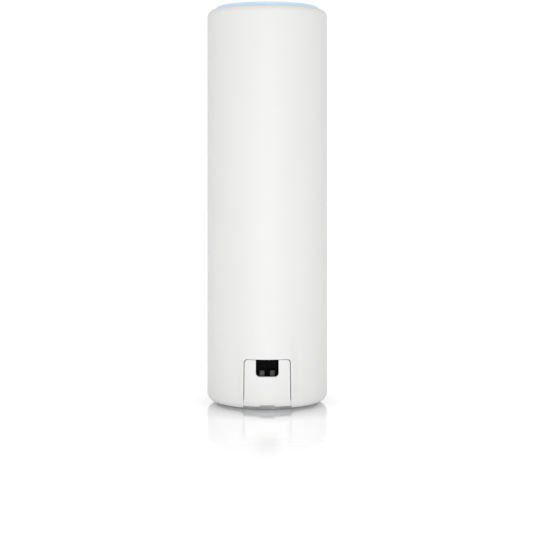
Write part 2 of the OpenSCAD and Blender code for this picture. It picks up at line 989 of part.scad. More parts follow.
// Half section of the door's plate: it follows the swelling and curves in at the bottom
module door_section() {
    edge = edge_r + swell;
    inner_edge = edge - door_t;
    difference() {
        translate([mouth_r + 0.2, door_lift])
            square([swell_r - mouth_r - 0.2, door_top + 2 - door_lift]);
        translate([swell_r - edge, floor_gap - 1])
            difference() {
                square([edge + 1, edge + 1]);
                translate([0, edge + 1])
                    circle(r = edge);
            }
        difference() {
            translate([mouth_r - 1, door_lift + door_lip_t])
                square([swell_r - door_t - mouth_r + 1, far]);
            translate([swell_r - edge, floor_gap + door_t])
                difference() {
                    square([inner_edge + 1, inner_edge]);
                    translate([0, inner_edge])
                        circle(r = inner_edge);
                }
        }
    }
}

// Front view of the cable window, open at the top
module window_outline() {
    half = window_w / 2;
    polygon(concat(
        [[half, far]],
        [[-half, far]],
        arc(window_r - half, window_z + window_r, window_r, 180, 270),
        arc(half - window_r, window_z + window_r, window_r, 270, 360)
    ));
}

module port_door() {
    color(casing_white)
        difference() {
            union() {
                intersection() {
                    rotate_extrude()
                        door_section();
                    along_y(-far, -15)
                        door_outline(side_gap, top_gap);
                }
                for (side = [0, 1])
                    mirror([side, 0, 0])
                        door_tongue();
            }
            along_y(-far, 0)
                window_outline();
            along_y(-far, 0)
                translate([0, door_lift])
                    polygon([[-notch_w / 2 - 0.7, -eps], [notch_w / 2 + 0.7, -eps],
                             [notch_w / 2, notch_h], [-notch_w / 2, notch_h]]);
        }
}

// Rib behind the door's plate with a tongue that runs in the casing's guide
module door_tongue() {
    low = door_lift + door_lip_t - 0.2;
    translate([0, 0, low])
        linear_extrude(door_top - 0.8 - low)
            polygon([
                [tongue_x - rib_w, rib_front_y],
                [tongue_x, rib_front_y],
                [tongue_x, tongue_front_y],
                [tongue_end_x, tongue_front_y],
                [tongue_end_x, tongue_back_y],
                [tongue_x - rib_w, tongue_back_y],
            ]);
}

outer_shell();
top_cap();
top_seal();
light_ring();
light_guide();
led_board();
status_leds();
led_board_screws();
led_cable();
led_connector();
inner_frame();
low_band_antenna_left();
low_band_antenna_right();
high_band_antenna_left();
high_band_antenna_right();
antenna_cables();
coax_plugs();
main_board();
processor_chip();
memory_chips();
processor_shield();
radio_chips();
radio_shield();
radio_front_ends();
thermal_pads();
heat_sink();
board_screws();
network_jack();
jack_shield();
jack_contacts();
jack_leads();
poe_transformer();
power_inductor();
bulk_capacitors();
power_controller();
reset_switch();
switch_plunger();
reset_button();
port_bay();
frame_screws();
base_cap();
base_screws();
foot_ring();
cable_clip();
port_door();
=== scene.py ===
"""Looks of the mesh wifi node: smooth casing and door, a lit ring, materials and a studio."""

import json
import math

import bmesh
import bpy
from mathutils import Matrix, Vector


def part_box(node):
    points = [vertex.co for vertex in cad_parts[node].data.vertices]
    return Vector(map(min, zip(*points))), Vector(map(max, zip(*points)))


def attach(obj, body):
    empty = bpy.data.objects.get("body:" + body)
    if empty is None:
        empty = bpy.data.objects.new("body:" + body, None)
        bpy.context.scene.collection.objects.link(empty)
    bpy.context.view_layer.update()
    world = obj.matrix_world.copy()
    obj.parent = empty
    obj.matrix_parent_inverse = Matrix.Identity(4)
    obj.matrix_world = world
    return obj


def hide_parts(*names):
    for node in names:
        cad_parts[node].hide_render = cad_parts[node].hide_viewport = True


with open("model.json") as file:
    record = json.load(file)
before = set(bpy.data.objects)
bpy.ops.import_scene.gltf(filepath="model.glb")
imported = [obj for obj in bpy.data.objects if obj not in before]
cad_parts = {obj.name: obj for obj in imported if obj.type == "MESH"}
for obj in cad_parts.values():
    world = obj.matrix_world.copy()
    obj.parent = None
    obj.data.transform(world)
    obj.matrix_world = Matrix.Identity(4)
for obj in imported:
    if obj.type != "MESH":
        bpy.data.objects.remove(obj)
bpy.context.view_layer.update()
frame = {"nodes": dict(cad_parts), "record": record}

MM = 0.001
BEVEL_SEGMENTS = 3
BEVEL_ANGLE = math.radians(35)
SHARP_ANGLE = math.radians(40)

# ---------------------------------------------------------------- sizes, from the frame where it has them
shell_low, shell_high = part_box("outer_shell")
ring_low, ring_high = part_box("light_ring")
cap_low, cap_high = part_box("top_cap")
door_low, door_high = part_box("port_door")
_, foot_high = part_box("foot_ring")
clip_low, clip_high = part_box("cable_clip")

BODY_R = shell_high.x
SWELL = -shell_low.y - BODY_R
FLOOR_GAP = shell_low.z
CASING_TOP = shell_high.z
RING_R = ring_high.x
TOP_MOUTH_R = RING_R + 0.1 * MM
WALL = 1.8 * MM
EDGE_R = 3.4 * MM
TOP_EDGE_R = 2.8 * MM
LAND = 0.6 * MM
INNER_R = BODY_R - WALL
INNER_EDGE_R = EDGE_R - WALL
EDGE_CENTRE_R = BODY_R - EDGE_R
MOUTH_R = EDGE_CENTRE_R - LAND
EDGE_Z = FLOOR_GAP + EDGE_R
TOP_EDGE_Z = CASING_TOP - TOP_EDGE_R
LEDGE_TOP = ring_low.z - 0.4 * MM
LEDGE_Z = LEDGE_TOP - 1.2 * MM
LEDGE_R = RING_R - 1.0 * MM

TOP_GAP = 0.2 * MM
SIDE_GAP = 0.3 * MM
DOOR_TOP = door_high.z + TOP_GAP
DOOR_HALF = 9.1 * MM
DOOR_FLARE = 0.2 * MM
DOOR_CORNER = 1.3 * MM
DOOR_T = 1.6 * MM
LIP_TOP = door_low.z + 0.9 * MM
CLOSE_FROM = 4.6 * MM
CLOSE_TO = 4.0 * MM
TONGUE_X = DOOR_HALF - 0.4 * MM
TONGUE_END = TONGUE_X + 1.3 * MM
TONGUE_BACK = -18.8 * MM
TONGUE_FRONT = -19.65 * MM
RAIL_X = TONGUE_END + 0.25 * MM
RAIL_BACK = TONGUE_BACK + 0.2 * MM
RAIL_ROOT = -20.2 * MM
FLANK_START = DOOR_HALF + 0.1 * MM
FLANK_END = FLANK_START + 2.6 * MM
SWELL_HOLD = DOOR_TOP + 0.5 * MM
SWELL_END = 36 * MM
PATCH_HALF = FLANK_END + 0.6 * MM
PATCH_TOP = 24 * MM
CORNER_X = 8.5 * MM
CORNER_T = 17 * MM
WINDOW_HALF = 4.425 * MM
WINDOW_Z = 13.45 * MM
WINDOW_R = 1.4 * MM
NOTCH_HALF = 2.5 * MM
NOTCH_SLOPE = 0.7 * MM
NOTCH_H = 0.6 * MM
CLOSING = 0.22 * MM
WIDE_OPENING_R = EDGE_CENTRE_R + 1.4 * MM
SLOT_ROOM = 0.2 * MM
SLOT_TRIM = 0.03 * MM
SLOT_TOP = 3.6 * MM


# ---------------------------------------------------------------- small helpers
def clamp(value, low=0.0, high=1.0):
    return max(low, min(high, value))


def smooth(value):
    t = clamp(value)
    return t * t * (3 - 2 * t)


def spaced(low, high, count):
    """Evenly spaced values from low to high, both ends included."""
    return [low + (high - low) * i / count for i in range(count + 1)]


def arc(cx, cy, r, start, end, steps):
    """Points of a round arc, its angles in degrees."""
    angles = [math.radians(start + (end - start) * i / steps) for i in range(steps + 1)]
    return [(cx + r * math.cos(a), cy + r * math.sin(a)) for a in angles]


class Builder:
    """Collects vertices and faces, and turns them into an object."""

    def __init__(self):
        self.points = []
        self.faces = []

    def add(self, point):
        self.points.append(point)
        return len(self.points) - 1

    def quad(self, a, b, c, d):
        self.faces.append((a, b, c, d))

    def strip(self, one, two, closed=False):
        """Joins two rows of vertices with quads."""
        count = len(one) if closed else len(one) - 1
        for i in range(count):
            j = (i + 1) % len(one)
            self.quad(one[i], one[j], two[j], two[i])

    def prism(self, outline, z0, z1):
        """A closed upright prism over an outline in plan."""
        low = [self.add((x, y, z0)) for x, y in outline]
        high = [self.add((x, y, z1)) for x, y in outline]
        self.strip(low, high, closed=True)
        self.faces.append(tuple(low))
        self.faces.append(tuple(high))

    def make(self, name, material, body, slot, replaces=(), bevel=0.0):
        mesh = bpy.data.meshes.new(name)
        mesh.from_pydata(self.points, [], self.faces)
        work = bmesh.new()
        work.from_mesh(mesh)
        bmesh.ops.remove_doubles(work, verts=work.verts, dist=0.0005 * MM)
        bmesh.ops.recalc_face_normals(work, faces=work.faces)
        work.to_mesh(mesh)
        work.free()
        piece = bpy.data.objects.new(name, mesh)
        bpy.context.scene.collection.objects.link(piece)
        if bevel:
            modifier = piece.modifiers.new("edges", "BEVEL")
            modifier.width = bevel
            modifier.segments = BEVEL_SEGMENTS
            modifier.limit_method = "ANGLE"
            modifier.angle_limit = BEVEL_ANGLE
            modifier.use_clamp_overlap = True
            bake_modifiers(piece)
        for polygon in piece.data.polygons:
            polygon.use_smooth = True
        piece.data.set_sharp_from_angle(angle=SHARP_ANGLE)
        piece.data.materials.clear()
        piece.data.materials.append(material)
        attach(piece, body)
        if replaces:
            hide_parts(*replaces)
        return piece


def bake_modifiers(piece):
    """Puts the modifiers' result into the mesh, so that none is left."""
    graph = bpy.context.evaluated_depsgraph_get()
    result = bpy.data.meshes.new_from_object(piece.evaluated_get(graph))
    piece.modifiers.clear()
    piece.data = result


def cut_away(piece, builder):
    """Cuts the builder's closed form out of a finished piece."""
    mesh = bpy.data.meshes.new("cutter")
    mesh.from_pydata(builder.points, [], builder.faces)
    form = bmesh.new()
    form.from_mesh(mesh)
    bmesh.ops.recalc_face_normals(form, faces=form.faces)
    form.to_mesh(mesh)
    form.free()
    cutter = bpy.data.objects.new("cutter", mesh)
    bpy.context.scene.collection.objects.link(cutter)
    cut = piece.modifiers.new("cut", "BOOLEAN")
    cut.operation = "DIFFERENCE"
    cut.solver = "EXACT"
    cut.object = cutter
    bake_modifiers(piece)
    piece.data.set_sharp_from_angle(angle=SHARP_ANGLE)
    bpy.data.objects.remove(cutter)


def revolved(profile, count=192, closed=True):
    """A builder that holds a profile of (radius, height) points turned about the can's axis."""
    builder = Builder()
    rows = []
    for r, z in profile:
        ring = []
        for i in range(count):
            a = 2 * math.pi * i / count
            ring.append(builder.add((r * math.sin(a), -r * math.cos(a), z)))
        rows.append(ring)
    pairs = list(zip(rows, rows[1:]))
    if closed:
        pairs.append((rows[-1], rows[0]))
    for one, two in pairs:
        builder.strip(one, two, closed=True)
    return builder


# ---------------------------------------------------------------- materials
def new_material(name):
    material = bpy.data.materials.new(name)
    material.use_nodes = True
    tree = material.node_tree
    shader = tree.nodes["Principled BSDF"]
    return material, tree, shader


def noise(tree, scale, detail=2.0, stretch=None):
    """Noise in the part's own space, in lumps per metre, stretched along an axis where asked."""
    place = tree.nodes.new("ShaderNodeTexCoord")
    texture = tree.nodes.new("ShaderNodeTexNoise")
    texture.inputs["Scale"].default_value = scale
    texture.inputs["Detail"].default_value = detail
    source = place.outputs["Object"]
    if stretch:
        mapping = tree.nodes.new("ShaderNodeMapping")
        mapping.inputs["Scale"].default_value = stretch
        tree.links.new(source, mapping.inputs["Vector"])
        source = mapping.outputs["Vector"]
    tree.links.new(source, texture.inputs["Vector"])
    return texture.outputs["Fac"]


def remap(tree, source, low, high, from_low=0.3, from_high=0.7):
    node = tree.nodes.new("ShaderNodeMapRange")
    node.inputs["From Min"].default_value = from_low
    node.inputs["From Max"].default_value = from_high
    node.inputs["To Min"].default_value = low
    node.inputs["To Max"].default_value = high
    tree.links.new(source, node.inputs["Value"])
    return node.outputs["Result"]


def blend_colours(tree, fac, one, two):
    node = tree.nodes.new("ShaderNodeMix")
    node.data_type = "RGBA"
    node.inputs["A"].default_value = (*one, 1)
    node.inputs["B"].default_value = (*two, 1)
    tree.links.new(fac, node.inputs["Factor"])
    return node.outputs["Result"]


def bump(tree, shader, height, distance):
    """Bumps the surface by a pattern, with distance as its full depth."""
    node = tree.nodes.new("ShaderNodeBump")
    node.inputs["Distance"].default_value = distance
    tree.links.new(height, node.inputs["Height"])
    tree.links.new(node.outputs["Normal"], shader.inputs["Normal"])


def shaded(colour, factor):
    return tuple(clamp(c * factor) for c in colour)


def moulded(name, colour, rough=0.5, grain=6000, depth=0.004, spread=0.03):
    """Moulded plastic: fine spark-eroded grain, slow colour drift and slightly uneven gloss."""
    material, tree, shader = new_material(name)
    drift = noise(tree, 60, 3)
    tree.links.new(blend_colours(tree, remap(tree, drift, 0, 1), shaded(colour, 1 - spread),
                                 shaded(colour, 1 + spread)), shader.inputs["Base Color"])
    tree.links.new(remap(tree, noise(tree, 900, 4), rough - 0.05, rough + 0.05), shader.inputs["Roughness"])
    bump(tree, shader, noise(tree, grain, 3), depth * MM)
    return material


def metal(name, colour, rough=0.3, stretch=(1, 1, 1), depth=0.003, scale=2500):
    """Plated or cast metal with fine streaks or grain."""
    material, tree, shader = new_material(name)
    shader.inputs["Metallic"].default_value = 1.0
    streaks = noise(tree, scale, 4, stretch)
    tree.links.new(blend_colours(tree, remap(tree, streaks, 0, 1), shaded(colour, 0.93), colour),
                   shader.inputs["Base Color"])
    tree.links.new(remap(tree, streaks, rough - 0.08, rough + 0.08), shader.inputs["Roughness"])
    bump(tree, shader, streaks, depth * MM)
    return material


def rubber(name, colour, rough=0.85):
    """Soft rubber: matte with a slightly open grain."""
    material, tree, shader = new_material(name)
    cloud = noise(tree, 400, 4)
    tree.links.new(blend_colours(tree, remap(tree, cloud, 0, 1), shaded(colour, 0.85), shaded(colour, 1.15)),
                   shader.inputs["Base Color"])
    shader.inputs["Specular IOR Level"].default_value = 0.35
    tree.links.new(remap(tree, cloud, rough - 0.06, rough + 0.06), shader.inputs["Roughness"])
    bump(tree, shader, noise(tree, 3000, 3), 0.01 * MM)
    return material


def circuit_board(name, colour):
    """Solder mask over glass weave, with faint copper tracks under it."""
    material, tree, shader = new_material(name)
    place = tree.nodes.new("ShaderNodeTexCoord")
    tracks = tree.nodes.new("ShaderNodeTexVoronoi")
    tracks.distance = "CHEBYCHEV"
    tracks.feature = "F1"
    tracks.inputs["Scale"].default_value = 260
    tree.links.new(place.outputs["Object"], tracks.inputs["Vector"])
    line = remap(tree, tracks.outputs["Distance"], 0, 1, 0.44, 0.5)
    tree.links.new(blend_colours(tree, line, colour, shaded(colour, 1.9)), shader.inputs["Base Color"])
    tree.links.new(remap(tree, noise(tree, 700, 3), 0.28, 0.42), shader.inputs["Roughness"])
    bump(tree, shader, line, 0.01 * MM)
    return material


def lit_diffuser(name):
    """Milky plastic lit from below: pale blue, a little brighter over each light."""
    material, tree, shader = new_material(name)
    glow = remap(tree, noise(tree, 90, 1), 0.0, 1.0)
    colour = blend_colours(tree, glow, (0.46, 0.74, 0.97), (0.54, 0.80, 0.98))
    shader.inputs["Base Color"].default_value = (0.42, 0.55, 0.68, 1)
    shader.inputs["Emission Strength"].default_value = 0.30
    tree.links.new(colour, shader.inputs["Emission Color"])
    tree.links.new(remap(tree, noise(tree, 1500, 2), 0.32, 0.4), shader.inputs["Roughness"])
    bump(tree, shader, noise(tree, 5000, 2), 0.002 * MM)
    return material


def clear_plastic(name):
    """Polished clear plastic with faint flow marks."""
    material, tree, shader = new_material(name)
    flow = noise(tree, 300, 2, (1, 1, 0.2))
    shader.inputs["Transmission Weight"].default_value = 0.9
    shader.inputs["IOR"].default_value = 1.49
    colour = blend_colours(tree, flow, (0.88, 0.94, 0.98), (0.95, 0.98, 1.0))
    tree.links.new(colour, shader.inputs["Base Color"])
    tree.links.new(remap(tree, flow, 0.04, 0.1), shader.inputs["Roughness"])
    bump(tree, shader, flow, 0.002 * MM)
    return material


WHITE = moulded("casing_white", (0.74, 0.74, 0.735), rough=0.48, grain=5200, depth=0.005, spread=0.006)
DIFFUSER = lit_diffuser("light_diffuser")
BLACK = moulded("bay_black", (0.004, 0.004, 0.0045), rough=0.62, grain=3800, depth=0.012, spread=0.1)
BLACK.node_tree.nodes["Principled BSDF"].inputs["Specular IOR Level"].default_value = 0.2
CLIP = moulded("clip_grey", (0.028, 0.028, 0.029), rough=0.5, grain=4200, depth=0.008, spread=0.05)
FOOT = rubber("foot_rubber", (0.42, 0.43, 0.44))

SLOT_MATERIALS = {
    "casing_white": WHITE,
    "light_diffuser": DIFFUSER,
    "bay_black": BLACK,
    "clip_grey": CLIP,
    "foot_rubber": FOOT,
    "clear_guide": clear_plastic("clear_guide"),
    "led_body": moulded("led_body", (0.85, 0.88, 0.9), rough=0.25, spread=0.02),
    "seal_foam": rubber("seal_foam", (0.03, 0.03, 0.032)),
    "board_green": circuit_board("board_green", (0.012, 0.10, 0.045)),
    "connector_ivory": moulded("connector_ivory", (0.68, 0.62, 0.48), rough=0.45),
    "ribbon": moulded("ribbon", (0.62, 0.55, 0.40), rough=0.3, grain=2000, depth=0.002),
    "frame_grey": moulded("frame_grey", (0.42, 0.43, 0.45), rough=0.5),
    "antenna_tin": metal("antenna_tin", (0.72, 0.72, 0.70), rough=0.28, stretch=(1, 1, 0.1)),
    "coax_jacket": moulded("coax_jacket", (0.03, 0.03, 0.033), rough=0.4),
    "gold_plate": metal("gold_plate", (0.90, 0.66, 0.26), rough=0.2),
    "chip_black": moulded("chip_black", (0.018, 0.018, 0.02), rough=0.6, grain=3000, depth=0.01),
    "shield_tin": metal("shield_tin", (0.66, 0.67, 0.68), rough=0.3, stretch=(1, 1, 0.15)),
    "pad_blue": rubber("pad_blue", (0.28, 0.42, 0.55), rough=0.7),
    "cast_aluminium": metal("cast_aluminium", (0.70, 0.71, 0.73), rough=0.42, depth=0.012, scale=1200),
    "screw_steel": metal("screw_steel", (0.60, 0.61, 0.63), rough=0.26),
    "jack_black": moulded("jack_black", (0.012, 0.012, 0.013), rough=0.42),
    "ferrite": moulded("ferrite", (0.05, 0.045, 0.042), rough=0.7, grain=1800, depth=0.02, spread=0.15),
    "capacitor_sleeve": moulded("capacitor_sleeve", (0.02, 0.035, 0.12), rough=0.25, depth=0.001),
    "button_grey": moulded("button_grey", (0.10, 0.10, 0.105), rough=0.42),
}


# ---------------------------------------------------------------- casing
def swelling(x, z):
    """How far the casing stands out at x across the rear and height z."""
    side = smooth((FLANK_END - abs(x)) / (FLANK_END - FLANK_START)) * 0.5
    side += clamp((FLANK_END - abs(x)) / (FLANK_END - FLANK_START)) * 0.5
    run = (SWELL_END - z) / (SWELL_END - SWELL_HOLD)
    return SWELL * side * (smooth(run) * 0.5 + clamp(run) * 0.5)


def outer_point(t, swell):
    """Radius and height of the casing's outside at t, which is the height above the lower rounded edge,
    and the length along the profile below that."""
    if t >= EDGE_Z:
        return BODY_R + swell, t + swell * clamp(1 - (t - EDGE_Z) / (4 * MM))
    angle = (EDGE_Z - t) / EDGE_R
    r = EDGE_R + swell
    if angle <= math.pi / 2:
        return EDGE_CENTRE_R + r * math.cos(angle), EDGE_Z + swell - r * math.sin(angle)
    return EDGE_CENTRE_R - (angle - math.pi / 2) * EDGE_R, FLOOR_GAP


def inner_point(t):
    """Radius and height of the casing's inside, opposite outer_point."""
    if t >= EDGE_Z:
        return INNER_R, t
    angle = (EDGE_Z - t) / EDGE_R
    if angle <= math.pi / 2:
        return (EDGE_CENTRE_R + INNER_EDGE_R * math.cos(angle), EDGE_Z - INNER_EDGE_R * math.sin(angle))
    return EDGE_CENTRE_R - (angle - math.pi / 2) * EDGE_R, FLOOR_GAP + WALL


def opening_half(t):
    """Half width of the door opening, wider where the lip lets the door's tongues through."""
    radius, z = outer_point(t, 0)
    if radius < WIDE_OPENING_R:
        return RAIL_X
    return DOOR_HALF + DOOR_FLARE * (DOOR_TOP - z) / DOOR_TOP


def casing():
    """The casing's wall on one orderly grid: bands that follow the door opening, rows around the rest."""
    lip_t = EDGE_Z - (math.pi / 2 * EDGE_R + LAND)
    fillet = spaced(EDGE_Z - math.pi / 2 * EDGE_R, EDGE_Z, 10)
    half_arc = 5
    side_rows = spaced(EDGE_Z, CORNER_T, 18)[1:]
    corner_rows = spaced(CORNER_T, PATCH_TOP, half_arc)[1:]
    rows = [lip_t] + fillet + side_rows + corner_rows
    corner_columns = spaced(-PATCH_HALF, -CORNER_X, half_arc)
    middle_columns = spaced(-CORNER_X, CORNER_X, 20)[1:-1]
    columns = corner_columns + middle_columns + [-x for x in reversed(corner_columns)]
    side_count = len(rows) - 1
    across = len(columns) - 1
    around = 168

    # The opening's outline, one point for each point of the patch's border
    straight_top = DOOR_TOP - DOOR_CORNER
    hole = [(-opening_half(t), t) for t in [lip_t] + fillet]
    for t in spaced(EDGE_Z, straight_top, len(side_rows))[1:]:
        hole.append((-opening_half(t), t))
    top_half = opening_half(DOOR_TOP) - DOOR_CORNER
    hole += arc(-top_half, straight_top, DOOR_CORNER, 180, 90, 2 * half_arc)[1:]
    hole += [(x, DOOR_TOP) for x in spaced(-top_half, top_half, len(middle_columns) + 1)[1:-1]]
    right = [(-x, t) for x, t in reversed(hole[: side_count + half_arc + 1])]
    hole += right

    builder = Builder()

    def place(column, t, inside):
        if column <= across:
            x = columns[column]
            return place_x(x, t, inside)
        radius, z = inner_point(t) if inside else outer_point(t, 0)
        start = math.asin(PATCH_HALF / radius)
        angle = start + (2 * math.pi - 2 * start) * (column - across) / around
        return builder.add((radius * math.sin(angle), -radius * math.cos(angle), z))

    def place_x(x, t, inside):
        radius, z = inner_point(t) if inside else outer_point(t, swelling(x, t))
        return builder.add((x, -math.sqrt(radius**2 - x**2), z))

    total = across + around
    rest = list(range(across, total)) + [0]
    layers = {}
    for inside in (False, True):
        lower = {k: {c: place(c, rows[k], inside) for c in rest} for k in range(side_count)}
        top_row = {c: place(c, rows[-1], inside) for c in range(total)}
        lower[side_count] = top_row
        for k in range(side_count):
            builder.strip([lower[k][c] for c in rest], [lower[k + 1][c] for c in rest])
        border = [lower[k][0] for k in range(side_count + 1)]
        border += [top_row[c] for c in range(1, across + 1)]
        border += [lower[k][across] for k in range(side_count - 1, -1, -1)]
        frame_points = [(-PATCH_HALF, t) for t in rows]
        frame_points += [(x, rows[-1]) for x in columns[1:]]
        frame_points += [(PATCH_HALF, t) for t in reversed(rows[:-1])]
        bands = []
        steps = [0.0, 0.04, 0.12, 0.24, 0.38, 0.52, 0.66, 0.8, 0.9]
        for step in steps:
            bands.append([
                place_x(h[0] + (f[0] - h[0]) * step, h[1] + (f[1] - h[1]) * step, inside)
                for h, f in zip(hole, frame_points)
            ])
        bands.append(border)
        for one, two in zip(bands, bands[1:]):
            builder.strip(one, two)
        layers[inside] = {"lower": lower, "top": top_row, "bands": bands}

    # Edge of the opening, then the bottom mouth
    builder.strip(layers[False]["bands"][0], layers[True]["bands"][0])
    builder.strip([layers[False]["lower"][0][c] for c in rest], [layers[True]["lower"][0][c] for c in rest])
    for end in (0, -1):
        outer_end, inner_end = ([band[end] for band in layers[inside]["bands"]] for inside in (False, True))
        builder.strip(outer_end, inner_end)

    # Upper wall: the swelling fades, then the rounded edge, the mouth, the ledge and back down inside
    def full_row(profile_t=None, point=None):
        row = []
        for c in range(total):
            if point is None:
                row.append(place(c, profile_t, False))
                continue
            radius, z = point
            start = math.asin(PATCH_HALF / radius)
            if c <= across:
                x = columns[c]
                row.append(builder.add((x, -math.sqrt(radius**2 - x**2), z)))
            else:
                angle = start + (2 * math.pi - 2 * start) * (c - across) / around
                row.append(builder.add((radius * math.sin(angle), -radius * math.cos(angle), z)))
        return row

    wall_rows = [[layers[False]["top"][c] for c in range(total)]]
    wall_rows += [full_row(profile_t=t) for t in spaced(PATCH_TOP, SWELL_END, 12)[1:]]
    wall_rows += [full_row(point=(BODY_R, z)) for z in spaced(SWELL_END, TOP_EDGE_Z, 8)[1:]]
    crown = arc(BODY_R - TOP_EDGE_R, TOP_EDGE_Z, TOP_EDGE_R, 0, 90, 12)[1:]
    inside_r = TOP_EDGE_R - WALL
    inside_crown = arc(INNER_R - inside_r, LEDGE_Z - inside_r, inside_r, 90, 0, 4)
    mouth = [(TOP_MOUTH_R, CASING_TOP), (TOP_MOUTH_R, LEDGE_TOP), (LEDGE_R, LEDGE_TOP), (LEDGE_R, LEDGE_Z)]
    wall_rows += [full_row(point=p) for p in crown + mouth + inside_crown]
    wall_rows += [full_row(point=(INNER_R, z)) for z in spaced(LEDGE_Z - inside_r, PATCH_TOP, 6)[1:-1]]
    wall_rows.append([layers[True]["top"][c] for c in range(total)])
    for one, two in zip(wall_rows, wall_rows[1:]):
        builder.strip(one, two, closed=True)

    # Guide rails beside the opening
    hook = TONGUE_X + 0.6 * MM
    root = RAIL_X + 1.2 * MM
    hook_back = RAIL_BACK + 0.8 * MM
    rail = [(RAIL_X, RAIL_ROOT), (RAIL_X, RAIL_BACK), (hook, RAIL_BACK), (hook, hook_back)]
    rail += [(root, hook_back), (root, RAIL_ROOT + 0.4 * MM)]
    for side in (-1, 1):
        builder.prism([(side * x, y) for x, y in rail], FLOOR_GAP + WALL - 0.4 * MM, DOOR_TOP + 0.6 * MM)
    shell = builder.make("casing_shell", WHITE, "casing", "casing_white", ["outer_shell"], bevel=0.14 * MM)

    # Slots in the lip, for the door's tongues
    for side in (-1, 1):
        slot = Builder()
        near, far = side * (TONGUE_X - SLOT_ROOM), side * (RAIL_X - SLOT_TRIM)
        front, back = TONGUE_FRONT - SLOT_ROOM, RAIL_BACK - SLOT_TRIM
        slot.prism([(near, front), (far, front), (far, back), (near, back)], -1 * MM, SLOT_TOP)
        cut_away(shell, slot)


# ---------------------------------------------------------------- port door
def door_outer(t):
    """Radius and height of the door's outside at t, measured like the casing's."""
    radius = EDGE_R + SWELL
    centre_z = FLOOR_GAP + radius
    if t >= centre_z:
        return EDGE_CENTRE_R + radius, t
    angle = (centre_z - t) / radius
    return EDGE_CENTRE_R + radius * math.cos(angle), centre_z - radius * math.sin(angle)


def door_inner(t):
    radius = EDGE_R + SWELL
    inner = radius - DOOR_T
    centre_z = FLOOR_GAP + radius
    if t >= centre_z:
        return EDGE_CENTRE_R + inner, t
    angle = (centre_z - t) / radius
    return EDGE_CENTRE_R + inner * math.cos(angle), centre_z - inner * math.sin(angle)


def door_t(z):
    """The t at which the door's outside has height z."""
    radius = EDGE_R + SWELL
    centre_z = FLOOR_GAP + radius
    if z >= centre_z:
        return z
    return centre_z - radius * math.asin((centre_z - z) / radius)


